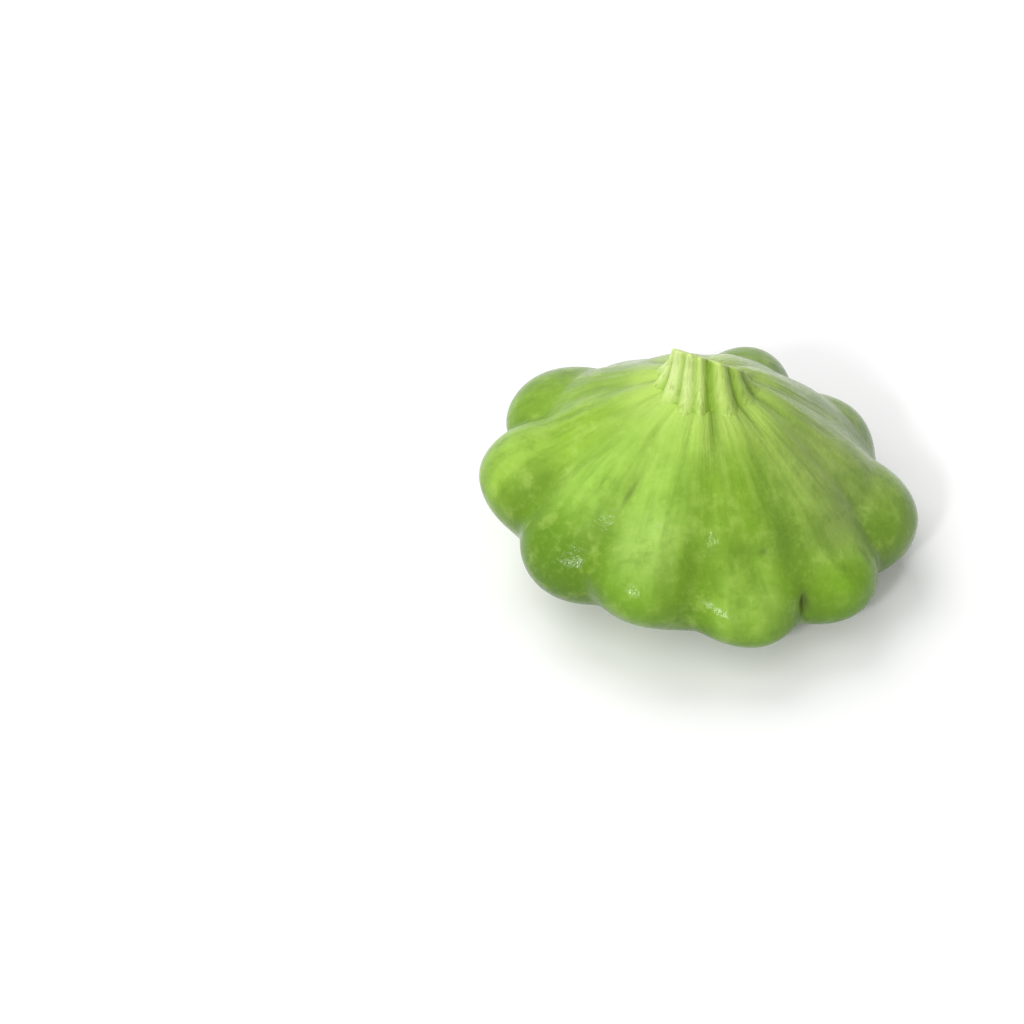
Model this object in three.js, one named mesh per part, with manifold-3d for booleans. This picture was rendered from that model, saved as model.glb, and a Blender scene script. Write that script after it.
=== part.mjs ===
// Pattypan squash: a saucer-shaped summer squash with ten lobes round its rim and a cut stub of stem.
//
// Millimetres, +Z up. The origin is on the surface that the squash rests on, below the middle of its ring
// of lobes. Azimuths are in degrees, from the front (-Y) towards the right (+X). The fruit is grown from its
// core, the middle of that ring: every point of the skin lies on a straight line outwards from it.

import * as THREE from "three";
import { mergeVertices } from "three/addons/utils/BufferGeometryUtils.js";
import Module from "manifold-3d";

const wasm = await Module();
wasm.setup();

const { degToRad, euclideanModulo, radToDeg, smoothstep } = THREE.MathUtils;

// --- Fruit body ---
const BODY_RADIUS = 43.5; // core to the valleys between the lobes
const RING_HEIGHT = 18; // resting face to the core, the level of the lobes
const CROWN_RISE = 29.5; // core to the crown under the stem
const CROWN_POWER = 1.3; // the shoulder's outline: 1 is a straight cone, 2 an ellipse
const BELLY_DROP = 18.7; // core to the blossom end, before the resting face cuts it flat
const BELLY_POWER = 2.1;
const RIM_EASE = 0.03; // how gently the shoulder turns into the belly, at the level of the core
const LEAN = 6; // degrees that the fruit has grown over to the right

// --- Lobes, from the front round to the right, back and left ---
// azimuth, reach from the core, height above the resting face, half width round the rim, half thickness,
// the share of its reach past the valleys that the rib of the body under it has as well,
// and how far from the lobe's edge the skin rounds over into the body
const LOBES = [
  { azimuth: 12, reach: 47.5, height: 14.5, halfWidth: 12.5, halfThickness: 8.3, rib: 0.2, blend: 4 },
  { azimuth: 45, reach: 46.5, height: 15.5, halfWidth: 12.5, halfThickness: 9.5, rib: 0.5, blend: 4.5 },
  { azimuth: 80, reach: 47, height: 18, halfWidth: 14, halfThickness: 10, rib: 0.75, blend: 7 },
  { azimuth: 124, reach: 46, height: 19, halfWidth: 11, halfThickness: 9.5, rib: 0.7, blend: 5 },
  { azimuth: 160, reach: 48, height: 21.5, halfWidth: 10.5, halfThickness: 9, rib: 0.6, blend: 5 },
  { azimuth: 200, reach: 43.5, height: 14, halfWidth: 13, halfThickness: 9, rib: 0, blend: 5 },
  { azimuth: 236, reach: 45.6, height: 20.4, halfWidth: 14, halfThickness: 9, rib: 0.8, blend: 8 },
  { azimuth: 277, reach: 46.5, height: 19.5, halfWidth: 13.5, halfThickness: 10, rib: 0.8, blend: 8 },
  { azimuth: 310, reach: 46.5, height: 13.5, halfWidth: 11, halfThickness: 9, rib: 0.7, blend: 6 },
  { azimuth: 338, reach: 46.3, height: 17.5, halfWidth: 12, halfThickness: 9, rib: 0.45, blend: 4.5 },
];
const LOBE_HALF_LENGTH = 13; // each lobe's half length, outwards
const OUTLINE_EASE = 0.15; // how gently a lobe's surface falls away at its outline
const RIB_HALF_WIDTH = 14; // degrees of azimuth

// --- Grooves that run from the crown down to each valley and on under the rim ---
const GROOVE_DEPTH = 0.7;
const GROOVE_HALF_WIDTH = 7; // degrees of azimuth
const GROOVE_TOP = { full: 15, none: 60 }; // degrees of latitude seen from the core
const GROOVE_BELLY = { full: -25, none: -70 };

// --- Stem stub ---
const STEM_FOOT = { x: 0.8, y: 0, z: 42.5 }; // middle of the foot, at the level where its flare is measured
const STEM_RADIUS = 6.7; // above the flare, to the bottom of the flutes
const STEM_FLARE = 4.6; // how much wider the foot is
const STEM_FLARE_HEIGHT = 3.6; // rise in which the flare falls to about a third
const STEM_TOP = 50.8; // height of the slanted cut, on the stem's middle line
const STEM_ROOT = 33; // how deep the blank reaches before the crown is cut out of it
const STEM_LEAN = { x: 0.04, y: 0 }; // sideways shift per millimetre of rise
const CUT_SLOPE = { x: -0.38, y: -0.64 }; // rise of the cut face to the right and to the back
const RIDGE_AZIMUTHS = [-64, -36, 16, 48, 77, 112, 150, 192, 235, 266];
const RIDGE_HEIGHT = 1.5; // crest above the flute beside it
const RIDGE_HALF_WIDTH = 13; // degrees of azimuth
const SEAT_GAP = 0.3; // between the stem's foot and the crown

// --- Mesh ---
const FRUIT_SEGMENTS = 100; // round the axis
const FRUIT_RINGS = 30; // from the blossom end to the crown
const RING_CROWDING = 1.3; // over 1 draws the rings together at the lobes
const STEM_SEGMENTS = 64;
const STEM_RINGS = 12;

// The larger of two reaches, rounded over where they are within `blend` of each other.
function softMax(a, b, blend) {
  const overlap = Math.max(blend - Math.abs(a - b), 0) / blend;
  return Math.max(a, b) + (overlap * overlap * blend) / 4;
}

// Degrees between two azimuths, from 0 to 180.
function apart(a, b) {
  return Math.abs(euclideanModulo(a - b + 180, 360) - 180);
}

// The level direction that an azimuth points in.
function outwards(azimuth) {
  return new THREE.Vector3(0, -1, 0).applyAxisAngle(new THREE.Vector3(0, 0, 1), degToRad(azimuth));
}

// Superellipse: distance from the core to the bare body at an azimuth, and at a latitude in radians.
function bodyReach(azimuth, latitude) {
  const [rise, power] = latitude >= 0 ? [CROWN_RISE, CROWN_POWER] : [BELLY_DROP, BELLY_POWER];
  const ribs = LOBES.map((lobe) => {
    const share = Math.exp(-((apart(azimuth, lobe.azimuth) / RIB_HALF_WIDTH) ** 2));
    return (lobe.reach - BODY_RADIUS) * lobe.rib * share;
  });
  const radius = ribs.reduce((sum, rib) => sum + rib, BODY_RADIUS);
  const across = (Math.cos(latitude) / radius) ** power;
  const away = Math.hypot(Math.sin(latitude), RIM_EASE) - RIM_EASE;
  const along = (away / (Math.hypot(1, RIM_EASE) - RIM_EASE) / rise) ** power;
  return (across + along) ** (-1 / power);
}

// A lobe is an ellipsoid in the rim. Its map turns points into its own space, where it is a unit ball.
const lobes = LOBES.map(({ azimuth, reach, height, halfWidth, halfThickness, blend }) => {
  const place = outwards(azimuth).multiplyScalar(reach - LOBE_HALF_LENGTH);
  place.z = height - RING_HEIGHT;
  const toBall = new THREE.Matrix4()
    .makeTranslation(place)
    .multiply(new THREE.Matrix4().makeRotationZ(degToRad(azimuth)))
    .multiply(new THREE.Matrix4().makeScale(halfWidth, LOBE_HALF_LENGTH, halfThickness))
    .invert();
  return { toBall, coreInBall: new THREE.Vector3().applyMatrix4(toBall), blend };
});

// Distance from the core to where a ray leaves a lobe, falling off quickly past the lobe's outline.
function lobeReach(direction, { toBall, coreInBall }) {
  const ray = direction.clone().applyMatrix4(toBall).sub(coreInBall);
  const a = ray.lengthSq();
  const b = ray.dot(coreInBall);
  if (b > 0) {
    return 0;
  }
  // 1 through the lobe's middle, 0 along its outline and negative past it.
  const depth = (b * b) / a - coreInBall.lengthSq() + 1;
  const halfChord = depth * Math.sqrt((1 + OUTLINE_EASE) / (Math.abs(depth) + OUTLINE_EASE));
  return Math.max((halfChord * Math.sqrt(a) - b) / a, 0);
}

// Each valley lies halfway between two neighbouring lobes.
const valleys = LOBES.map(({ azimuth }, i) => {
  const next = LOBES[(i + 1) % LOBES.length].azimuth;
  return azimuth + euclideanModulo(next - azimuth, 360) / 2;
});

function grooveDepth(azimuth, latitude) {
  const nearest = Math.min(...valleys.map((valley) => apart(azimuth, valley)));
  const across = Math.exp(-((nearest / GROOVE_HALF_WIDTH) ** 2));
  const degrees = radToDeg(latitude);
  const onTop = 1 - smoothstep(degrees, GROOVE_TOP.full, GROOVE_TOP.none);
  const onBelly = smoothstep(degrees, GROOVE_BELLY.none, GROOVE_BELLY.full);
  return GROOVE_DEPTH * across * onTop * onBelly;
}

// The point of the skin that lies in a direction from the core, moved out by an allowance.
function skinPoint(direction, allowance) {
  const latitude = Math.asin(THREE.MathUtils.clamp(direction.z, -1, 1));
  const azimuth = radToDeg(Math.atan2(direction.x, -direction.y));
  const bare = bodyReach(azimuth, latitude) - grooveDepth(azimuth, latitude);
  const reach = lobes.reduce((grown, lobe) => softMax(grown, lobeReach(direction, lobe), lobe.blend), bare);
  const point = direction.clone().multiplyScalar(reach + allowance);
  // The belly stays level, and all above it has grown over to the right.
  const leaning = Math.tan(degToRad(LEAN)) * smoothstep(radToDeg(latitude), -45, -5);
  return new THREE.Vector3(
    point.x + Math.max(point.z, 0) * leaning,
    point.y,
    point.z - point.x * leaning + RING_HEIGHT,
  );
}

// A closed mesh as a solid that can be joined and cut.
function solidOf(geometry) {
  const bare = geometry.clone().deleteAttribute("normal").deleteAttribute("uv");
  const merged = mergeVertices(bare, 1e-3);
  return new wasm.Manifold(
    new wasm.Mesh({
      numProp: 3,
      vertProperties: merged.attributes.position.array,
      triVerts: new Uint32Array(merged.index.array),
    }),
  );
}

function geometryOf(solid) {
  const mesh = solid.getMesh();
  const geometry = new THREE.BufferGeometry();
  geometry.setAttribute("position", new THREE.BufferAttribute(mesh.vertProperties, 3));
  geometry.setIndex(new THREE.BufferAttribute(mesh.triVerts, 1));
  geometry.computeVertexNormals();
  return geometry;
}

// Moves every vertex of a geometry to where `place` puts it.
function reshape(geometry, place) {
  const position = geometry.getAttribute("position");
  const vertex = new THREE.Vector3();
  for (let i = 0; i < position.count; i += 1) {
    vertex.fromBufferAttribute(position, i);
    const moved = place(vertex);
    position.setXYZ(i, moved.x, moved.y, moved.z);
  }
  return geometry;
}

// A half circle turned into a ball, whose points are then pushed out to the skin.
function fruitGeometry(allowance) {
  const halfCircle = [];
  for (let i = 0; i <= FRUIT_RINGS; i += 1) {
    const along = (2 * i) / FRUIT_RINGS - 1;
    const latitude = (Math.sign(along) * Math.abs(along) ** RING_CROWDING * Math.PI) / 2;
    const onAxis = i === 0 || i === FRUIT_RINGS;
    halfCircle.push(new THREE.Vector2(onAxis ? 0 : Math.cos(latitude), Math.sin(latitude)));
  }
  const ball = new THREE.LatheGeometry(halfCircle, FRUIT_SEGMENTS).rotateX(Math.PI / 2);
  return reshape(ball, (vertex) => skinPoint(vertex.clone().normalize(), allowance));
}

// Everything below the surface that the squash rests on.
function ground() {
  const side = 4 * BODY_RADIUS;
  return solidOf(new THREE.BoxGeometry(side, side, side).translate(0, 0, -side / 2));
}

function makeFruit() {
  const material = new THREE.MeshStandardMaterial({ color: 0x7db332, roughness: 0.42, metalness: 0 });
  const fruit = new THREE.Mesh(geometryOf(solidOf(fruitGeometry(0)).subtract(ground())), material);
  fruit.name = "fruit";
  return fruit;
}

// How far the stem's wall stands out at an azimuth: 0 in the flutes, RIDGE_HEIGHT on a ridge's crest.
function ridgeAt(azimuth) {
  const nearest = Math.min(...RIDGE_AZIMUTHS.map((ridge) => apart(azimuth, ridge)));
  return RIDGE_HEIGHT * Math.exp(-((nearest / RIDGE_HALF_WIDTH) ** 2));
}

function stemRadius(height) {
  return STEM_RADIUS + STEM_FLARE * Math.exp((STEM_FOOT.z - height) / STEM_FLARE_HEIGHT);
}

// The stem's blank is a ribbed post on the crown, with a slanted cut across its top.
function stemGeometry() {
  const outline = [new THREE.Vector2(0, 0)];
  for (let i = 0; i <= STEM_RINGS; i += 1) {
    outline.push(new THREE.Vector2(1, i / STEM_RINGS));
  }
  outline.push(new THREE.Vector2(0, 1));
  const post = new THREE.LatheGeometry(outline, STEM_SEGMENTS).rotateX(Math.PI / 2);
  return reshape(post, ({ x, y, z }) => {
    const straight = new THREE.Vector2(x, y);
    const azimuth = radToDeg(Math.atan2(x, -y));
    const topHere = STEM_TOP + STEM_RADIUS * (CUT_SLOPE.x * x + CUT_SLOPE.y * y);
    const height = THREE.MathUtils.lerp(STEM_ROOT, topHere, z);
    // Below the foot the blank only fills the crown's hollow, so it stays as wide as the foot.
    straight.multiplyScalar(stemRadius(Math.max(height, STEM_FOOT.z)) + ridgeAt(azimuth));
    const rise = height - STEM_FOOT.z;
    return new THREE.Vector3(
      STEM_FOOT.x + straight.x + STEM_LEAN.x * rise,
      STEM_FOOT.y + straight.y + STEM_LEAN.y * rise,
      height,
    );
  });
}

function makeStem() {
  const material = new THREE.MeshStandardMaterial({ color: 0xa9c765, roughness: 0.6, metalness: 0 });
  const seat = solidOf(fruitGeometry(SEAT_GAP));
  const stem = new THREE.Mesh(geometryOf(solidOf(stemGeometry()).subtract(seat)), material);
  stem.name = "stem";
  return stem;
}

const squash = new THREE.Group();
squash.add(makeFruit(), makeStem());

export default squash;
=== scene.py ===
"""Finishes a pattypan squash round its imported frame: the fruit's skin, the stem's stub, a stage.

It is laid out as an add-on and run as a script. Lengths are in metres, in the frame of the model:
the squash rests on z = 0 with its stem up, -Y is the front and +X is to the right. Azimuths run
from the front towards the right. The fruit is grown outwards from its core, a point on the axis
at the level of its ring of lobes.
"""

import functools
import math
from typing import NamedTuple

import bmesh
import bpy
from bpy.props import FloatProperty, FloatVectorProperty, IntProperty, PointerProperty
from mathutils import Matrix, Vector, noise
from mathutils.geometry import interpolate_bezier


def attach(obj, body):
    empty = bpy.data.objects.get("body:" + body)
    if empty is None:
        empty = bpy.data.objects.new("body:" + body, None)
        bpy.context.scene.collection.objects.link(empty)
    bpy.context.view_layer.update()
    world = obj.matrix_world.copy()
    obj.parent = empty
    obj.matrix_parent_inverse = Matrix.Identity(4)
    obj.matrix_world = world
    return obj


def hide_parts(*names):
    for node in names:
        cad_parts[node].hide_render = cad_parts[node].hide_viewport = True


bl_info = {
    "name": "Pattypan Squash",
    "version": (1, 0, 0),
    "blender": (4, 5, 0),
    "location": "3D View > Sidebar > Squash",
    "description": "Grows the skin and the stem of a pattypan squash and sets its stage",
    "category": "Object",
}

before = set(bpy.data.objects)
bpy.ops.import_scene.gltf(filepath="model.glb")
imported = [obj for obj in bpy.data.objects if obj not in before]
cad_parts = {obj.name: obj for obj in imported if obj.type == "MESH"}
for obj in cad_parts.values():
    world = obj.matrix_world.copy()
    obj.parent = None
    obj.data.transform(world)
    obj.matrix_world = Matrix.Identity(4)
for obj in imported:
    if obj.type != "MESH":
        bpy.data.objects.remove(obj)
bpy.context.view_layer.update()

MM = 0.001
FRUIT = "fruit_skin"
STEM = "stem_stub"


class Lobe(NamedTuple):
    """One of the lobes round the rim: an ellipsoid in the body. Lengths are in millimetres."""

    azimuth: float
    reach: float  # from the core to the tip
    height: float  # above the ground
    half_width: float  # round the rim
    half_thickness: float
    neck: float  # how far the shoulder dips above it
    rib: float  # how much of its reach past the valleys the body under it has as well
    blend: float  # how far from its edge the skin rounds over into the body


LOBES = (
    Lobe(12, 47.5, 14.5, 12.5, 8.3, 3.3, 0.2, 4),
    Lobe(45, 46.5, 15.5, 12.5, 9.5, 1.4, 0.5, 4.5),
    Lobe(80, 47, 18, 14, 10, 0, 0.75, 7),
    Lobe(124, 46, 19, 11, 9.5, 0.4, 0.7, 5),
    Lobe(160, 48, 21.5, 10.5, 9, 0.4, 0.6, 5),
    Lobe(200, 43.5, 14, 13, 9, 0, 0.0, 5),
    Lobe(236, 45.6, 20.4, 14, 9, 0, 0.8, 8),
    Lobe(277, 46.5, 19.5, 13.5, 10, 0, 0.8, 8),
    Lobe(310, 46.5, 13.5, 11, 9, 0.4, 0.7, 6),
    Lobe(338, 46.3, 17.5, 12, 9, 1.5, 0.45, 4.5),
)


class Mark(NamedTuple):
    """A place where the skin is sunk. Angles, seen from the core, are in degrees."""

    azimuth: float
    latitude: float
    half_width: float
    half_height: float
    depth: float  # in millimetres
    brown_and_shade: float  # how brown it has healed, and how dark it is painted as shade in its hollow, from 0 to 1


MARKS = (
    Mark(28.5, -1, 1.3, 3.2, 1.3, 0.85),  # a pit in the valley between two front lobes, darkened as painted shade in its hollow
    Mark(-36, 26, 0.9, 6, 0.25, 0.5),  # a crease on the shoulder
    Mark(17, 14.5, 1.6, 1.3, 0.15, 0.42),  # two healed scratches
    Mark(52, 6, 1.4, 2.6, 0.1, 0.38),
    Mark(190, 25, 30, 16, 1.8, 0),  # a broad flat on the back of the shoulder
)


class Ridge(NamedTuple):
    """One of the ribs up the stem. Angles are in degrees; strength is a share of ridge height."""

    azimuth: float  # on the crown
    half_width: float
    strength: float


RIDGES = (
    Ridge(-56, 15, 0.9),
    Ridge(-28, 12, 1.0),
    Ridge(-10, 8, 0.85),
    Ridge(24, 14, 1.0),
    Ridge(56, 12, 0.9),
    Ridge(85, 12, 0.8),
    Ridge(120, 16, 1.0),
    Ridge(158, 17, 0.9),
    Ridge(200, 18, 1.0),
    Ridge(243, 17, 0.9),
    Ridge(274, 13, 0.8),
)

STEM_MIDDLE = Vector((0.8 * MM, 0, 0))


class Patch(NamedTuple):
    """A part of the skin of another colour, some of them painted light and shade. Angles are in
    degrees and radii in millimetres.
    """

    azimuth: float
    spread: float  # how far to either side of its azimuth it fades out
    inner: float  # the radius where it starts to show, on its way out from the stem
    outer: float  # the radius where it has faded out again
    share: float
    colour: tuple


PATCHES = (
    Patch(-34, 42, 9, 44, 0.65, (0.37, 0.63, 0.1)),  # paler on the front left of the shoulder: painted light on the side the key lamp lights
    Patch(12, 34, 13, 43, 0.45, (0.15, 0.32, 0.015)),  # greener in front: painted shade on the middle of the shoulder and above the front knob
    Patch(85, 70, 12, 46, 0.5, (0.42, 0.5, 0.18)),  # painted sheen: greyish on the right of the shoulder, the pale surroundings mirrored at a grazing angle
    Patch(84, 26, 34, 70, 0.5, (0.2, 0.27, 0.06)),  # dull on the lobe below it
    Patch(128, 34, 16, 66, 0.55, (0.15, 0.25, 0.03)),  # painted shade: deeper towards the back, in this patch and the next
    Patch(190, 84, 12, 70, 0.6, (0.2, 0.31, 0.05)),
    Patch(-84, 32, 26, 56, 0.6, (0.38, 0.6, 0.09)),  # painted light: paler on top of three lobes
    Patch(-21, 13, 27, 49, 0.6, (0.45, 0.68, 0.16)),
    Patch(11, 13, 31, 52, 0.5, (0.42, 0.64, 0.13)),
    Patch(-27, 17, 38, 70, 0.6, (0.12, 0.28, 0.008)),  # painted shade: deeper under one of them
    Patch(-50, 26, 32, 70, 0.75, (0.07, 0.17, 0.008)),  # deeper green on the lower left lobes, partly unripe and partly painted shade
)

MARK_BROWN_AND_SHADE = (0.1, 0.12, 0.03)
SCAR_MIDDLE = (0.33, 0.34, 0.09)
SCAR_SPECKS = (0.12, 0.12, 0.03)
# The stem's crests on its left, paler as painted light where the key lamp lights them.
PAINTED_LIGHT_CREST = (0.7, 0.85, 0.32)

# Directions from the squash towards the lamps, and towards the brighter side of its surroundings.
TO_KEY = (-0.5, -0.45, 0.74)
TO_TOP = (-0.38, 0.5, 0.78)
TO_SPARKLE = (-0.39, -0.8, 0.5)
TO_BRIGHT_SIDE = (0.5, -0.7, -0.3)


# --- Sizes and colours that a user would change ---


class SquashFruitSettings(bpy.types.PropertyGroup):
    """Sizes and colours of the fruit."""

    body_radius: FloatProperty(
        name="Body Radius",
        description="From the core to the valleys between the lobes",
        default=0.0435,
        min=0.02,
        unit="LENGTH",
    )
    ring_height: FloatProperty(
        name="Ring Height",
        description="From the ground to the core, the level of the ring of lobes",
        default=0.018,
        min=0.005,
        unit="LENGTH",
    )
    crown_rise: FloatProperty(
        name="Crown Rise",
        description="From the core to the crown under the stem",
        default=0.0295,
        min=0.01,
        unit="LENGTH",
    )
    belly_drop: FloatProperty(
        name="Belly Drop",
        description="From the core to the blossom end, before it is flattened where it rests",
        default=0.0187,
        min=0.01,
        unit="LENGTH",
    )
    lobe_length: FloatProperty(
        name="Lobe Half Length",
        description="Half the length of each lobe, outwards",
        default=0.013,
        min=0.005,
        unit="LENGTH",
    )
    groove_depth: FloatProperty(
        name="Groove Depth",
        description="Depth of the grooves that run from the crown down to the valleys",
        default=0.00035,
        min=0.0,
        unit="LENGTH",
    )
    crown_rib_height: FloatProperty(
        name="Crown Rib Height",
        description="How far the stem's ridges stand out where they run on over the crown",
        default=0.0009,
        min=0.0,
        unit="LENGTH",
    )
    lean: FloatProperty(
        name="Lean",
        description="How far the fruit has grown over to the right",
        default=math.radians(6),
        subtype="ANGLE",
    )
    segments: IntProperty(
        name="Segments",
        description="Faces round the fruit",
        default=480,
        min=32,
    )
    rings: IntProperty(
        name="Rings",
        description="Faces from the blossom end to the crown",
        default=196,
        min=16,
    )
    shoulder_colour: FloatVectorProperty(
        name="Shoulder Colour",
        description="Skin between the stem and the lobes",
        subtype="COLOR",
        size=3,
        default=(0.28, 0.49, 0.035),
    )
    lobe_colour: FloatVectorProperty(
        name="Lobe Colour",
        description="Skin on the lobes",
        subtype="COLOR",
        size=3,
        default=(0.23, 0.46, 0.02),
    )
    collar_colour: FloatVectorProperty(
        name="Collar Colour",
        description="Pale skin round the foot of the stem",
        subtype="COLOR",
        size=3,
        default=(0.46, 0.66, 0.13),
    )
    # Also painted shade: it darkens the lower faces of the lobes, not only the underside.
    belly_and_shade_colour: FloatVectorProperty(
        name="Belly Colour",
        description="Skin on the underside",
        subtype="COLOR",
        size=3,
        default=(0.17, 0.37, 0.02),
    )
    scar_colour: FloatVectorProperty(
        name="Scar Colour",
        description="Corky disc at the blossom end",
        subtype="COLOR",
        size=3,
        default=(0.66, 0.68, 0.16),
    )


class SquashStemSettings(bpy.types.PropertyGroup):
    """Sizes and colours of the stem."""

    radius: FloatProperty(
        name="Radius",
        description="From the middle of the stem to the bottom of its flutes, at the cut",
        default=0.0065,
        min=0.002,
        unit="LENGTH",
    )
    ridge_height: FloatProperty(
        name="Ridge Height",
        description="How far a ridge stands above the flutes beside it",
        default=0.0017,
        min=0.0,
        unit="LENGTH",
    )
    cut_height: FloatProperty(
        name="Cut Height",
        description="From the ground to the slanted cut, on the stem's middle line",
        default=0.0508,
        min=0.045,
        unit="LENGTH",
    )
    foot_spread: FloatProperty(
        name="Foot Spread",
        description="How much further than the flutes the ridges run out over the crown",
        default=0.0024,
        min=0.0,
        unit="LENGTH",
    )
    twist: FloatProperty(
        name="Twist",
        description="How far the ridges turn on their way up from the crown",
        default=math.radians(8),
        subtype="ANGLE",
    )
    ridge_colour: FloatVectorProperty(
        name="Ridge Colour",
        description="Pale crests of the ridges",
        subtype="COLOR",
        size=3,
        default=(0.6, 0.8, 0.2),
    )
    flute_colour: FloatVectorProperty(
        name="Flute Colour",
        description="Greener flutes between the ridges",
        subtype="COLOR",
        size=3,
        default=(0.28, 0.46, 0.04),
    )
    cut_colour: FloatVectorProperty(
        name="Cut Colour",
        description="Flesh of the cut face",
        subtype="COLOR",
        size=3,
        default=(0.62, 0.76, 0.26),
    )


class SquashStageSettings(bpy.types.PropertyGroup):
    """Floor, lights and camera."""

    floor_size: FloatProperty(
        name="Floor Size",
        description="Half the width of the floor",
        default=2.0,
        min=0.2,
        unit="LENGTH",
    )
    floor_colour: FloatVectorProperty(
        name="Floor Colour",
        description="Colour of the floor",
        subtype="COLOR",
        size=3,
        default=(0.9, 0.9, 0.9),
    )
    key_strength: FloatProperty(
        name="Key Strength",
        description="Strength of the soft key lamp",
        default=1.35,
        min=0.0,
    )
    key_angle: FloatProperty(
        name="Key Softness",
        description="Angle that the key lamp fills, seen from the squash",
        default=math.radians(60),
        subtype="ANGLE",
    )
    top_strength: FloatProperty(
        name="Top Strength",
        description="Strength of the soft lamp above and behind the squash",
        default=1.45,
        min=0.0,
    )
    top_angle: FloatProperty(
        name="Top Softness",
        description="Angle that the top lamp fills, seen from the squash",
        default=math.radians(45),
        subtype="ANGLE",
    )
    sky_strength: FloatProperty(
        name="Sky Strength",
        description="Mean strength of the white surroundings",
        default=0.33,
        min=0.0,
    )
    sparkle_strength: FloatProperty(
        name="Sparkle Strength",
        description="Strength of the small lamp whose highlights lie on the front lobes",
        default=1.0,
        min=0.0,
    )
    sparkle_angle: FloatProperty(
        name="Sparkle Softness",
        description="Angle that the sparkle lamp fills, seen from the squash",
        default=math.radians(6),
        subtype="ANGLE",
    )
    camera_rise: FloatProperty(
        name="Camera Rise",
        description="Angle of the camera above the level",
        default=math.radians(38),
        subtype="ANGLE",
    )
    camera_distance: FloatProperty(
        name="Camera Distance",
        description="From the camera to the core of the fruit, along its line of sight",
        default=0.53,
        min=0.1,
        unit="LENGTH",
    )
    camera_aside: FloatProperty(
        name="Camera Aside",
        description="How far the camera stands to the left of the core",
        default=0.0408,
        unit="LENGTH",
    )
    camera_below: FloatProperty(
        name="Camera Below",
        description="How far its line of sight passes below the core",
        default=0.0061,
        unit="LENGTH",
    )
    lens_length: FloatProperty(
        name="Lens Length",
        description="Focal length, in millimetres",
        default=84.7,
        min=1.0,
        unit="CAMERA",
    )


# --- Curves ---


def clamp(value, low=0.0, high=1.0):
    return min(max(value, low), high)


def smoothstep(value, start, end):
    """0 at start, 1 at end and eased in between; end may lie below start."""
    share = clamp((value - start) / (end - start))
    return share * share * (3 - 2 * share)


def bell(value, half_width):
    return math.exp(-((value / half_width) ** 2))


def soft_max(a, b, blend):
    """The larger of two, rounded over where they are within blend of each other."""
    overlap = max(blend - abs(a - b), 0) / blend
    return max(a, b) + overlap * overlap * blend / 4


def apart(a, b):
    """Degrees between two azimuths, from 0 to 180."""
    return abs((a - b + 180) % 360 - 180)


def level_direction(azimuth):
    """The level direction at an azimuth in degrees."""
    angle = math.radians(azimuth)
    return Vector((math.sin(angle), -math.cos(angle), 0))


def azimuth_of(x, y):
    return math.degrees(math.atan2(x, -y))


@functools.cache
def ridge_at(azimuth):
    """0 in the stem's flutes, up to 1 on a ridge's crest."""
    return max(
        ridge.strength * bell(apart(azimuth, ridge.azimuth), ridge.half_width)
        for ridge in RIDGES
    )


# --- Fruit ---


def finish_mesh(bm, name, material):
    """Turns a bmesh into a smooth piece of that name, and clears away an earlier one."""
    old = bpy.data.objects.get(name)
    if old:
        bpy.data.objects.remove(old)
    mesh = bpy.data.meshes.new(name)
    bm.to_mesh(mesh)
    bm.free()
    mesh.shade_smooth()
    mesh.materials.append(material)
    piece = bpy.data.objects.new(name, mesh)
    bpy.context.scene.collection.objects.link(piece)
    return piece


class SkinPoint(NamedTuple):
    """A point of the skin, and how much of it is lobe, valley, ridge and mark, from 0 to 1."""

    place: Vector
    lobe: float
    valley: float
    ridge: float
    mark: float


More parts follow.
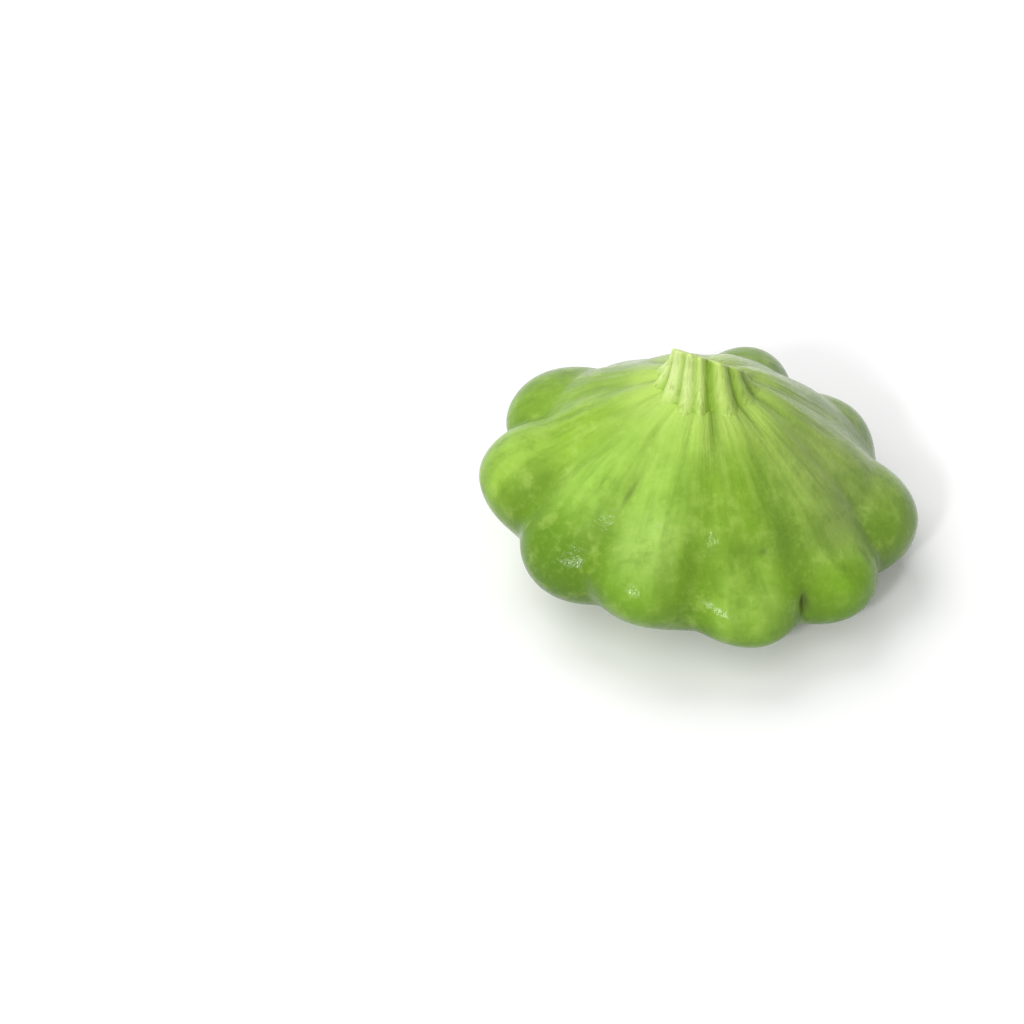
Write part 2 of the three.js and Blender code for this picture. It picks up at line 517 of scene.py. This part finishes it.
class FruitShape:
    """The skin of the fruit as a distance from its core in each direction.

    Azimuths, latitudes and half widths are angles seen from the core, in degrees.
    """

    CROWN_POWER = 1.3  # the shoulder's outline: 1 is a straight cone, 2 an ellipse
    BELLY_POWER = 2.1
    RIM_EASE = 0.03  # how gently the shoulder turns into the belly at the level of the core
    OUTLINE_EASE = 0.15  # how gently a lobe's surface falls away at its outline
    LOBE_VIEW = 0.5  # cosine of the widest angle from its azimuth at which a lobe can show
    LOBE_EDGE = (-2 * MM, 3 * MM)  # between these, past the body, the skin turns into lobe
    RIB_HALF_WIDTH = 14  # of the body's swelling under a lobe
    NECK_ABOVE_LOBE = 4  # from the top of a lobe up to its neck
    NECK_HALF_HEIGHT = 7
    GROOVE_HALF_WIDTH = 7
    DEEP_GROOVE = 6  # the latitude where the grooves are deepest
    DEEP_GROOVE_HALF_HEIGHT = 14
    DEEP_GROOVE_EXTRA = 4  # how much deeper they are there, as a share of their depth
    RIDGE_START = (3 * MM, 8 * MM)  # from the stem's middle line
    RIDGE_END = (26 * MM, 13 * MM)
    TOP_OF_SIDE = (75, 20)  # between these latitudes grooves and unevenness fade towards the crown
    FOOT_OF_SIDE = (-70, -25)  # and towards the blossom end
    FOOT_OF_LEAN = (-45, -5)  # and between these the fruit's lean does
    UNEVENNESS = 0.35 * MM
    UNEVENNESS_PER_METRE = 70

    def __init__(self, settings):
        self.settings = settings
        self.lobes = [self.lobe_maps(lobe) for lobe in LOBES]
        self.valleys = []
        for lobe, following in zip(LOBES, LOBES[1:] + LOBES[:1]):
            gap = (following.azimuth - lobe.azimuth) % 360
            self.valleys.append(lobe.azimuth + gap / 2)

    def lobe_maps(self, lobe):
        """The turn into a lobe's own space, where it is a unit ball, and the core seen there."""
        half_length = self.settings.lobe_length
        outwards = level_direction(lobe.azimuth)
        middle = outwards * (lobe.reach * MM - half_length)
        middle.z = lobe.height * MM - self.settings.ring_height
        radii = (lobe.half_width * MM, half_length, lobe.half_thickness * MM)
        turn = Matrix.Rotation(math.radians(lobe.azimuth), 3, "Z")
        to_ball = (turn @ Matrix.Diagonal(radii)).inverted()
        return outwards, to_ball, to_ball @ -middle, lobe.blend * MM

    def with_lobes(self, direction, bare):
        """Distance from the core to the skin with its lobes on, and to the outermost lobe."""
        reach, furthest = bare, 0.0
        for outwards, to_ball, core, blend in self.lobes:
            if outwards.dot(direction) < self.LOBE_VIEW:
                continue
            ray = to_ball @ direction
            a = ray.length_squared
            b = ray.dot(core)
            # 1 through the lobe's middle, 0 along its outline and negative past it.
            depth = b * b / a - core.length_squared + 1
            easing = (1 + self.OUTLINE_EASE) / (abs(depth) + self.OUTLINE_EASE)
            half_chord = depth * math.sqrt(easing)
            lobe_reach = (half_chord * math.sqrt(a) - b) / a
            furthest = max(furthest, lobe_reach)
            reach = soft_max(reach, lobe_reach, blend)
        return reach, furthest

    @functools.cache
    def rim_at(self, azimuth):
        """The body's radius, the necks' depth and latitude, and the valley's share."""
        body_radius = self.settings.body_radius
        radius, depth, latitude, shares = body_radius, 0.0, 0.0, 0.0
        for lobe in LOBES:
            share = bell(apart(azimuth, lobe.azimuth), self.RIB_HALF_WIDTH)
            radius += (lobe.reach * MM - body_radius) * lobe.rib * share
            depth += lobe.neck * MM * share
            top = lobe.height + lobe.half_thickness - self.settings.ring_height / MM
            top_latitude = math.degrees(math.asin(top / lobe.reach))
            latitude += (top_latitude + self.NECK_ABOVE_LOBE) * share
            shares += share
        from_valley = min(apart(azimuth, valley) for valley in self.valleys)
        return radius, depth, latitude / shares, bell(from_valley, self.GROOVE_HALF_WIDTH)

    def bare_reach(self, radius, latitude):
        """Distance from the core to the body without its lobes, for a latitude in radians."""
        settings = self.settings
        rise, power = settings.crown_rise, self.CROWN_POWER
        if latitude < 0:
            rise, power = settings.belly_drop, self.BELLY_POWER
        across = (math.cos(latitude) / radius) ** power
        away = math.hypot(math.sin(latitude), self.RIM_EASE) - self.RIM_EASE
        along = (away / (math.hypot(1, self.RIM_EASE) - self.RIM_EASE) / rise) ** power
        return (across + along) ** (-1 / power)

    def crown_ridge(self, spot):
        """How much of the stem's ridges runs on over the crown, at a place given from the core."""
        if spot.z < 0:
            return 0.0
        x = spot.x + spot.z * math.tan(self.settings.lean) - STEM_MIDDLE.x
        y = spot.y - STEM_MIDDLE.y
        radius = math.hypot(x, y)
        shown = smoothstep(radius, *self.RIDGE_END) * smoothstep(radius, *self.RIDGE_START)
        return ridge_at(round(azimuth_of(x, y), 2)) * shown

    def with_marks(self, reach, azimuth, latitude):
        """The distance to the skin with its marks sunk in, and how brown they are, with their
        painted shade.
        """
        brown_and_shade = 0.0
        for mark in MARKS:
            beside = bell(apart(azimuth, mark.azimuth), mark.half_width)
            here = beside * bell(latitude - mark.latitude, mark.half_height)
            reach -= mark.depth * MM * here
            brown_and_shade = max(brown_and_shade, mark.brown_and_shade * here)
        return reach, brown_and_shade

    def placed(self, spot, latitude):
        """A place given from the core, leant over, set on the ground and flattened there."""
        leaning = math.tan(self.settings.lean) * smoothstep(latitude, *self.FOOT_OF_LEAN)
        x, y, z = spot
        height = z - x * leaning + self.settings.ring_height
        return Vector((x + max(z, 0) * leaning, y, max(height, 0)))

    def point(self, direction):
        """The point of the skin in a direction from the core."""
        settings = self.settings
        radians = math.asin(clamp(direction.z, -1, 1))
        latitude = math.degrees(radians)
        azimuth = azimuth_of(direction.x, direction.y)
        on_side = smoothstep(latitude, *self.TOP_OF_SIDE)
        on_side *= smoothstep(latitude, *self.FOOT_OF_SIDE)
        radius, neck_depth, neck_latitude, valley = self.rim_at(round(azimuth, 3))
        neck = bell(latitude - neck_latitude, self.NECK_HALF_HEIGHT)
        bare = self.bare_reach(radius, radians) - neck_depth * neck
        deep = bell(latitude - self.DEEP_GROOVE, self.DEEP_GROOVE_HALF_HEIGHT)
        groove = valley * on_side * (1 + self.DEEP_GROOVE_EXTRA * deep)
        bare -= settings.groove_depth * groove
        ridge = self.crown_ridge(direction * bare)
        bare += settings.crown_rib_height * ridge
        reach, lobe_reach = self.with_lobes(direction, bare)
        reach, brown_and_shade = self.with_marks(reach, azimuth, latitude)
        uneven = noise.noise(direction * reach * self.UNEVENNESS_PER_METRE)
        reach += self.UNEVENNESS * uneven * on_side
        return SkinPoint(
            place=self.placed(direction * reach, latitude),
            lobe=smoothstep(lobe_reach - bare, *self.LOBE_EDGE),
            valley=valley * on_side,
            ridge=ridge,
            mark=brown_and_shade,
        )


RING_CROWDING = 1.25  # above 1, the fruit's rings lie closer together at the level of its lobes


def crowded(spot):
    """A direction from the core for a point of the unit ball."""
    share = math.asin(clamp(spot.z, -1, 1)) / (math.pi / 2)
    latitude = math.copysign(abs(share) ** RING_CROWDING, share) * math.pi / 2
    level = Vector((spot.x, spot.y, 0))
    if level.length > 1e-6:
        level.normalize()
    direction = level * math.cos(latitude)
    direction.z = math.sin(latitude)
    return direction


def grow_fruit(settings, material):
    shape = FruitShape(settings)
    bm = bmesh.new()
    bmesh.ops.create_uvsphere(
        bm, u_segments=settings.segments, v_segments=settings.rings, radius=1
    )
    shares = [name for name in SkinPoint._fields if name != "place"]
    layers = {name: bm.verts.layers.float.new(name) for name in shares}
    for vert in bm.verts:
        point = shape.point(crowded(vert.co))
        vert.co = point.place
        for name, layer in layers.items():
            vert[layer] = getattr(point, name)
    bmesh.ops.recalc_face_normals(bm, faces=bm.faces)
    return finish_mesh(bm, FRUIT, material)


# --- Stem ---


def height_on(piece, x, y):
    """Height of a piece's topmost surface at a place, found by dropping a line onto it."""
    hit, spot, _, _ = piece.ray_cast(Vector((x, y, 1)), Vector((0, 0, -1)))
    if not hit:
        raise RuntimeError(f"the stem's foot at {x:.4f}, {y:.4f} misses the fruit")
    return spot.z


class StemShape:
    """The stem's wall and cut face, foot to middle, for each azimuth in degrees."""

    OUT_TO_BEND = 1.7 * MM  # from the outline of the cut to where the wall bends
    OUT_TO_FOOT = 1.3 * MM  # and on to the foot of a flute
    BEND_RISE = 0.6 * MM  # height of the bend above the crown
    SUNK = 0.5 * MM  # how deep the foot's edge lies in the crown
    TURN = 0.7  # how closely the wall follows the corner between crown and post
    STEPS = 49  # places up the wall
    KNOBS = 0.3 * MM  # how far the wall's unevenness goes in and out
    KNOBS_ROUND = 2.5
    KNOBS_PER_METRE = 350
    KNOBS_IN_FLUTES = 0.3
    KNOBS_START = 0.3  # the share of the way up where they are at their full height
    CUT_SLOPE = Vector((-0.38, -0.64, 0))
    ROUNDED = 0.5 * MM  # how far the edge of the cut is rounded over
    ROUNDED_SHARE = 0.12  # and how far in, as a share of the way to the middle
    HOLLOW = 1.1 * MM  # how far the middle has dried and sunk
    HOLLOW_SHARE = 0.2

    def __init__(self, settings, fruit):
        self.settings = settings
        self.fruit = fruit

    def on_crown(self, outwards, distance, above):
        """A place at a distance from the stem's middle line, so far above the crown."""
        spot = STEM_MIDDLE + outwards * distance
        spot.z = height_on(self.fruit, spot.x, spot.y) + above
        return spot

    def wall(self, azimuth, share):
        """A point up the wall: a curve from the foot's edge in the crown to the cut's edge."""
        settings = self.settings
        ridge = ridge_at(azimuth + math.degrees(settings.twist) * share)
        outwards = level_direction(azimuth)
        at_cut = settings.radius + settings.ridge_height * ridge
        at_bend = at_cut + self.OUT_TO_BEND
        at_foot = at_bend + self.OUT_TO_FOOT + settings.foot_spread * ridge
        foot = self.on_crown(outwards, at_foot, -self.SUNK)
        bend = self.on_crown(outwards, at_bend, self.BEND_RISE)
        top = STEM_MIDDLE + outwards * at_cut
        top.z = settings.cut_height + self.CUT_SLOPE.dot(outwards) * at_cut
        lower = foot.lerp(bend, self.TURN)
        upper = top.lerp(bend, self.TURN)
        curve = interpolate_bezier(foot, lower, upper, top, self.STEPS)
        spot = curve[round(share * (self.STEPS - 1))]
        level = outwards * self.KNOBS_ROUND
        knob = noise.noise(Vector((level.x, level.y, spot.z * self.KNOBS_PER_METRE)))
        knob *= (self.KNOBS_IN_FLUTES + ridge) * smoothstep(share, 0, self.KNOBS_START)
        return spot + outwards * self.KNOBS * knob, ridge

    def cut(self, azimuth, share):
        """A point of the cut face: 0 is its edge and 1 its middle."""
        edge, ridge = self.wall(azimuth, 1)
        middle = STEM_MIDDLE.copy()
        middle.z = self.settings.cut_height
        spot = edge.lerp(middle, share)
        spot.z += self.ROUNDED * (1 - (1 - clamp(share / self.ROUNDED_SHARE)) ** 2)
        spot.z -= self.HOLLOW * smoothstep(share, self.HOLLOW_SHARE, 1)
        return spot, ridge


STEM_SEGMENTS = 240
CUT_RINGS = 16
FOOT_SHARES = (0.6, 0.1)  # the wall turns into foot between these shares of the way up


def grow_stem(settings, fruit, material):
    shape = StemShape(settings, fruit)
    wall_rings = shape.STEPS - 1
    bm = bmesh.new()
    # The outline is drawn with its height as the share of the way up the wall, and then in to
    # the middle of the cut.
    places = [(1, 0, i / wall_rings) for i in range(wall_rings + 1)]
    places += [(1 - i / CUT_RINGS, 0, 1 + i / CUT_RINGS) for i in range(1, CUT_RINGS + 1)]
    outline = [bm.verts.new(place) for place in places]
    edges = [bm.edges.new(pair) for pair in zip(outline, outline[1:])]
    bmesh.ops.spin(
        bm,
        geom=outline + edges,
        axis=(0, 0, 1),
        cent=(0, 0, 0),
        angle=math.tau,
        steps=STEM_SEGMENTS,
        use_merge=True,
    )
    bmesh.ops.remove_doubles(bm, verts=bm.verts, dist=1e-6)
    ridge_layer = bm.verts.layers.float.new("ridge")
    cut_layer = bm.verts.layers.float.new("cut")
    foot_layer = bm.verts.layers.float.new("foot")
    for vert in bm.verts:
        azimuth = azimuth_of(vert.co.x, vert.co.y)
        share = vert.co.z
        if share <= 1 + 1e-6:
            vert.co, vert[ridge_layer] = shape.wall(azimuth, share)
            vert[foot_layer] = smoothstep(share, *FOOT_SHARES)
        else:
            vert.co, vert[ridge_layer] = shape.cut(azimuth, share - 1)
            vert[cut_layer] = 1
    bmesh.ops.holes_fill(bm, edges=[edge for edge in bm.edges if edge.is_boundary])
    bmesh.ops.recalc_face_normals(bm, faces=bm.faces)
    return finish_mesh(bm, STEM, material)


# --- Finishes ---


def rgba(colour):
    if isinstance(colour, bpy.types.NodeSocket):
        return colour
    return (*colour, 1.0)


def toned(colour, share):
    return tuple(part * share for part in colour)


class Nodes:
    """A node tree, put together layer by layer. A colour is a socket or a plain triple."""

    def __init__(self, tree, output_kind):
        self.tree = tree
        tree.nodes.clear()
        self.output = tree.nodes.new(output_kind)

    def node(self, kind, inputs=(), **settings):
        """A node with its settings made and each input fed, from a socket or with a value."""
        made = self.tree.nodes.new("ShaderNode" + kind)
        for name, value in settings.items():
            setattr(made, name, value)
        for key, value in dict(inputs).items():
            if isinstance(value, bpy.types.NodeSocket):
                self.tree.links.new(value, made.inputs[key])
            else:
                made.inputs[key].default_value = value
        return made

    def surface(self, shader):
        self.tree.links.new(shader.outputs[0], self.output.inputs["Surface"])

    def calc(self, operation, *values, clamped=False):
        inputs = dict(enumerate(values))
        return self.node("Math", inputs, operation=operation, use_clamp=clamped).outputs[0]

    def times(self, a, b):
        return self.calc("MULTIPLY", a, b)

    def vector_calc(self, operation, *vectors, output="Vector"):
        inputs = dict(enumerate(vectors))
        return self.node("VectorMath", inputs, operation=operation).outputs[output]

    def ease(self, value, start, end, low=0.0, high=1.0):
        """Eases a value from low at start to high at end."""
        ends = {"From Min": start, "From Max": end, "To Min": low, "To Max": high}
        inputs = {"Value": value, **ends}
        return self.node("MapRange", inputs, interpolation_type="SMOOTHSTEP").outputs[0]

    def mix(self, share, under, over):
        inputs = {0: share, 6: rgba(under), 7: rgba(over)}
        return self.node("Mix", inputs, data_type="RGBA").outputs[2]

    def noise(self, vector, scale, detail=3.0, roughness=0.5):
        inputs = {"Vector": vector, "Scale": scale, "Detail": detail, "Roughness": roughness}
        return self.node("TexNoise", inputs).outputs["Fac"]

    def attribute(self, name):
        return self.node("Attribute", attribute_name=name).outputs["Fac"]

    def scaled(self, vector, scale):
        return self.node("Mapping", {"Vector": vector, "Scale": scale}).outputs[0]

    def millimetres(self):
        """Places on the piece, in millimetres."""
        return self.scaled(self.node("TexCoord").outputs["Object"], (1 / MM, 1 / MM, 1 / MM))

    def bump(self, height, distance, under=None):
        inputs = {"Height": height, "Distance": distance}
        if under:
            inputs["Normal"] = under
        return self.node("Bump", inputs).outputs[0]

    def seen_directly(self):
        """1 for what is looked at, mirrored or seen through glass, 0 for light on the squash."""
        light = self.node("LightPath").outputs
        seen = self.calc("ADD", light["Is Camera Ray"], light["Is Glossy Ray"])
        return self.calc("ADD", seen, light["Is Transmission Ray"], clamped=True)


class Finish(Nodes):
    """A material."""

    def __init__(self, name):
        self.material = bpy.data.materials.new(name)
        self.material.use_nodes = True
        super().__init__(self.material.node_tree, "ShaderNodeOutputMaterial")


class SkinFinish(Finish):
    """Waxy skin: pale round the stem, yellow-green on the shoulder and deeper on the lobes.

    Radii and heights are in millimetres, from the axis and from the ground.
    """

    STREAK_SCALE = 4
    STREAK_DRIFT = 0.03  # how fast the streaks change along the radius

    def __init__(self, settings):
        super().__init__("skin")
        self.settings = settings
        self.pale = toned(settings.collar_colour, 1.08)
        # Deep green for streaks and blotches, and for painted shade in grooves and valleys.
        self.deep = toned(settings.lobe_colour, 0.55)
        place = self.millimetres()
        x, y, self.z = self.node("SeparateXYZ", {0: place}).outputs
        self.radius = self.calc("SQRT", self.calc("ADD", self.times(x, x), self.times(y, y)))
        level = self.node("CombineXYZ", {0: x, 1: y}).outputs[0]
        self.outwards = self.vector_calc("NORMALIZE", level)
        self.broad_streaks, self.fine_streaks = self.streaks()
        self.blotches = self.noise(place, 0.2, 4, 0.62)
        self.grain = self.noise(place, 0.9, 3, 0.6)
        self.specks = self.noise(place, 1.4, 1)

        colour = self.ground()
        for patch in PATCHES:
            colour = self.with_patch(colour, patch)
        colour = self.with_streaks(colour)
        colour = self.with_blotches(colour)
        # The marks' healed brown, with painted shade in the pit.
        colour = self.mix(self.attribute("mark"), colour, MARK_BROWN_AND_SHADE)
        inputs = {
            "Base Color": self.with_scar(colour),
            "Roughness": self.ease(self.grain, 0.3, 0.7, 0.14, 0.26),
            "Specular IOR Level": 0.22,
            "Normal": self.relief(),
        }
        self.surface(self.node("BsdfPrincipled", inputs))

    def streaks(self):
        """Noise that changes round the fruit and hardly along the radius, coarse and fine."""
        drift = self.times(self.radius, self.STREAK_DRIFT)
        drift = self.node("CombineXYZ", {2: drift}).outputs[0]
        ray = self.vector_calc("MULTIPLY", self.outwards, (self.STREAK_SCALE,) * 3)
        ray = self.vector_calc("ADD", ray, drift)
        return self.noise(ray, 1.0, 2), self.noise(ray, 3.0, 2)

    def ground(self):
        """The plain colours, from the stem outwards and down."""
        settings, radius = self.settings, self.radius
        colour = self.mix(
            self.ease(radius, 24, 46), settings.shoulder_colour, settings.lobe_colour
        )
        on_lobe = self.times(self.attribute("lobe"), 0.35)
        colour = self.mix(on_lobe, colour, settings.lobe_colour)
        colour = self.mix(self.ease(radius, 26, 9), colour, settings.collar_colour)
        # Deeper green towards the bottom: partly the underside's own colour, partly painted shade
        # on the lobes' lower faces.
        return self.mix(self.ease(self.z, 20, 6), colour, settings.belly_and_shade_colour)

    def with_patch(self, colour, patch):
        toward = level_direction(patch.azimuth)
        facing = self.vector_calc("DOT_PRODUCT", self.outwards, toward, output="Value")
        edge = math.cos(math.radians(patch.spread))
        full = math.cos(math.radians(patch.spread / 6))
        across = self.ease(facing, edge, full)
        start = self.ease(self.radius, patch.inner, patch.inner + 14, 0, patch.share)
        end = self.ease(self.radius, patch.outer, patch.outer - 10)
        share = self.times(across, self.times(start, end))
        return self.mix(share, colour, patch.colour)

    def with_streaks(self, colour):
        """Pale and deep streaks, and painted shade in deep green between the stem's ridges and in
        the valleys.
        """
        radius, ease, times = self.radius, self.ease, self.times
        pale = times(ease(self.broad_streaks, 0.5, 0.75), ease(radius, 40, 15, 0.1, 0.45))
        colour = self.mix(pale, colour, self.pale)
        deep = times(ease(self.fine_streaks, 0.6, 0.3), ease(radius, 14, 30, 0.05, 0.4))
        colour = self.mix(deep, colour, self.deep)
        # Painted shade in the grooves between the ribs that the stem's ridges run on over the
        # crown.
        rib_groove_shade = ease(self.attribute("ridge"), 0.5, 0.0)
        colour = self.mix(times(rib_groove_shade, ease(radius, 25, 13, 0.0, 0.75)), colour, self.deep)
        # Painted shade in the valleys between the lobes.
        valleys = times(self.attribute("valley"), ease(radius, 28, 40, 0.1, 0.7))
        return self.mix(valleys, colour, self.deep)

    def with_blotches(self, colour):
        """Pale and deep blotches, and pale flecks."""
        colour = self.mix(self.ease(self.blotches, 0.5, 0.7, 0, 0.3), colour, self.pale)
        outwards = self.ease(self.radius, 15, 40, 0.12, 0.4)
        deep = self.times(self.ease(self.blotches, 0.5, 0.3), outwards)
        colour = self.mix(deep, colour, self.deep)
        return self.mix(self.ease(self.grain, 0.5, 0.75, 0, 0.12), colour, self.pale)

    def with_scar(self, colour):
        """The blossom end: a corky scar with a scalloped edge, in a ring of pale streaks."""
        radius, ease, times = self.radius, self.ease, self.times
        under = ease(self.z, 6, 3)
        streaks = times(ease(self.fine_streaks, 0.45, 0.62), ease(radius, 24, 10, 0, 0.6))
        colour = self.mix(times(streaks, under), colour, self.pale)
        corky = self.mix(ease(self.grain, 0.35, 0.65), self.settings.scar_colour, self.pale)
        corky = self.mix(ease(radius, 2.9, 2.2, 0, 0.7), corky, SCAR_MIDDLE)
        wave = self.calc("SUBTRACT", self.broad_streaks, 0.5)
        scalloped = self.calc("MULTIPLY_ADD", wave, 7.0, radius)
        specks = times(ease(self.specks, 0.58, 0.66), ease(scalloped, 7.2, 8.4))
        corky = self.mix(times(specks, 0.8), corky, SCAR_SPECKS)
        return self.mix(times(ease(scalloped, 9.8, 8.8), under), colour, corky)

    def relief(self):
        relief = self.bump(self.blotches, 0.3 * MM)
        relief = self.bump(self.grain, 0.12 * MM, under=relief)
        streaks = self.times(self.fine_streaks, self.ease(self.radius, 40, 20))
        return self.bump(streaks, 0.4 * MM, under=relief)


class StemFinish(Finish):
    """Pale crests and green flutes, fibrous, that take on the crown's colour at the foot, with
    painted light on the left and painted shade on the right.
    """

    FIBRE_SCALE = (1.3, 1.3, 0.08)

    def __init__(self, settings, collar_colour):
        super().__init__("stem")
        place = self.millimetres()
        x = self.node("SeparateXYZ", {0: place}).outputs[0]
        # Painted light and shade: paler on its left, the side the key lamp lights, and greener on
        # its right.
        crest = self.mix(self.ease(x, 0, -6), settings.ridge_colour, PAINTED_LIGHT_CREST)
        crest = self.mix(self.ease(x, 1, 8, 0, 0.6), crest, settings.flute_colour)
        crest = self.mix(self.attribute("foot"), crest, collar_colour)
        on_crest = self.ease(self.attribute("ridge"), 0.1, 0.8)
        colour = self.mix(on_crest, settings.flute_colour, crest)
        fibre = self.noise(self.scaled(place, self.FIBRE_SCALE), 1.0, 3, 0.55)
        deep = toned(settings.flute_colour, 0.6)
        colour = self.mix(self.ease(fibre, 0.5, 0.3, 0, 0.35), colour, deep)
        inputs = {
            "Base Color": self.mix(self.attribute("cut"), colour, settings.cut_colour),
            "Roughness": 0.4,
            "Specular IOR Level": 0.35,
            "Normal": self.bump(fibre, 0.3 * MM),
        }
        self.surface(self.node("BsdfPrincipled", inputs))


class FloorFinish(Finish):
    """White paper that keeps the squash's shadow, and throws less light up than it shows."""

    GLOW = 0.14
    THROWN_UP = (0.45, 0.45, 0.45)

    def __init__(self, settings):
        super().__init__("floor")
        dull = self.node("BsdfDiffuse", {"Color": rgba(self.THROWN_UP)})
        plain = self.node("BsdfDiffuse", {"Color": rgba(settings.floor_colour)})
        glow = self.node("Emission", {"Color": (1, 1, 1, 1), "Strength": self.GLOW})
        lifted = self.node("AddShader", {0: plain.outputs[0], 1: glow.outputs[0]})
        inputs = {0: self.seen_directly(), 1: dull.outputs[0], 2: lifted.outputs[0]}
        self.surface(self.node("MixShader", inputs))


# --- Stage ---


def set_floor(settings):
    bm = bmesh.new()
    bmesh.ops.create_grid(bm, x_segments=1, y_segments=1, size=settings.floor_size)
    floor = finish_mesh(bm, "floor", FloorFinish(settings).material)


def hang_lamp(name, strength, angle, towards, mirrored):
    """A far lamp that fills an angle of the sky, and may be mirrored as a highlight."""
    lamp = bpy.data.lights.new(name, "SUN")
    lamp.energy = strength
    lamp.angle = angle
    hung = bpy.data.objects.new(name, lamp)
    bpy.context.scene.collection.objects.link(hung)
    hung.rotation_euler = Vector(towards).to_track_quat("Z", "Y").to_euler()
    hung.visible_glossy = mirrored


def set_lamps(settings):
    hang_lamp("key", settings.key_strength, settings.key_angle, TO_KEY, mirrored=False)
    hang_lamp("top", settings.top_strength, settings.top_angle, TO_TOP, mirrored=False)
    hang_lamp(
        "sparkle", settings.sparkle_strength, settings.sparkle_angle, TO_SPARKLE, mirrored=True
    )


def set_surroundings(settings):
    """Plain and pale to look at, and graded from side to side where they light the squash."""
    world = bpy.data.worlds.new("surroundings")
    world.use_nodes = True
    bpy.context.scene.world = world
    sky = Nodes(world.node_tree, "ShaderNodeOutputWorld")
    direction = sky.node("TexCoord").outputs["Generated"]
    facing = sky.vector_calc("DOT_PRODUCT", direction, TO_BRIGHT_SIDE, output="Value")
    graded = sky.calc("MULTIPLY_ADD", facing, settings.sky_strength, settings.sky_strength)
    inputs = {"Factor": sky.seen_directly(), "A": graded, "B": 1.0}
    strength = sky.node("Mix", inputs).outputs["Result"]
    sky.surface(sky.node("Background", {"Strength": strength}))


def set_camera(settings, ring_height):
    lens = bpy.data.cameras.new("camera")
    lens.lens = settings.lens_length
    lens.sensor_width = 36
    lens.clip_start = 0.01
    camera = bpy.data.objects.new("camera", lens)
    bpy.context.scene.collection.objects.link(camera)
    rise = settings.camera_rise
    back = Vector((0, -math.cos(rise), math.sin(rise)))
    up = Vector((0, math.sin(rise), math.cos(rise)))
    core = Vector((0, 0, ring_height))
    aside = Vector((settings.camera_aside, 0, 0)) + up * settings.camera_below
    camera.location = core + back * settings.camera_distance - aside
    camera.rotation_euler = (math.pi / 2 - rise, 0, 0)
    bpy.context.scene.camera = camera


# --- Operators and panel ---


class SQUASH_OT_grow_fruit(bpy.types.Operator):
    """Grow the skin of the fruit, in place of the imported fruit"""

    bl_idname = "squash.grow_fruit"
    bl_label = "Grow Fruit"

    def execute(self, context):
        settings = context.scene.squash_fruit
        fruit = grow_fruit(settings, SkinFinish(settings).material)
        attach(fruit, "root")
        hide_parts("fruit")
        return {"FINISHED"}


class SQUASH_OT_grow_stem(bpy.types.Operator):
    """Grow the stub of the stem on the crown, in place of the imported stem"""

    bl_idname = "squash.grow_stem"
    bl_label = "Grow Stem"

    def execute(self, context):
        fruit = bpy.data.objects.get(FRUIT)
        if fruit is None:
            raise RuntimeError("the stem grows on the fruit, so grow the fruit first")
        settings = context.scene.squash_stem
        finish = StemFinish(settings, context.scene.squash_fruit.collar_colour)
        stem = grow_stem(settings, fruit, finish.material)
        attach(stem, "root")
        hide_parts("stem")
        return {"FINISHED"}


class SQUASH_OT_set_stage(bpy.types.Operator):
    """Set the floor, the lights and the camera"""

    bl_idname = "squash.set_stage"
    bl_label = "Set Stage"

    def execute(self, context):
        settings = context.scene.squash_stage
        set_floor(settings)
        set_lamps(settings)
        set_surroundings(settings)
        set_camera(settings, context.scene.squash_fruit.ring_height)
        context.scene.view_settings.view_transform = "Standard"
        return {"FINISHED"}


class SQUASH_PT_panel(bpy.types.Panel):
    """The squash's steps and sizes, in the sidebar"""

    bl_idname = "SQUASH_PT_panel"
    bl_label = "Pattypan Squash"
    bl_space_type = "VIEW_3D"
    bl_region_type = "UI"
    bl_category = "Squash"

    def draw(self, context):
        scene = context.scene
        for operator, settings in (
            (SQUASH_OT_grow_fruit, scene.squash_fruit),
            (SQUASH_OT_grow_stem, scene.squash_stem),
            (SQUASH_OT_set_stage, scene.squash_stage),
        ):
            box = self.layout.box()
            box.operator(operator.bl_idname)
            for name in settings.bl_rna.properties.keys():
                if name not in ("rna_type", "name"):
                    box.prop(settings, name)


CLASSES = (
    SquashFruitSettings,
    SquashStemSettings,
    SquashStageSettings,
    SQUASH_OT_grow_fruit,
    SQUASH_OT_grow_stem,
    SQUASH_OT_set_stage,
    SQUASH_PT_panel,
)


def register():
    for cls in CLASSES:
        bpy.utils.register_class(cls)
    bpy.types.Scene.squash_fruit = PointerProperty(type=SquashFruitSettings)
    bpy.types.Scene.squash_stem = PointerProperty(type=SquashStemSettings)
    bpy.types.Scene.squash_stage = PointerProperty(type=SquashStageSettings)


def unregister():
    del bpy.types.Scene.squash_stage
    del bpy.types.Scene.squash_stem
    del bpy.types.Scene.squash_fruit
    for cls in reversed(CLASSES):
        bpy.utils.unregister_class(cls)


def main():
    register()
    bpy.ops.squash.grow_fruit()
    bpy.ops.squash.grow_stem()
    bpy.ops.squash.set_stage()


if __name__ == "__main__":
    main()
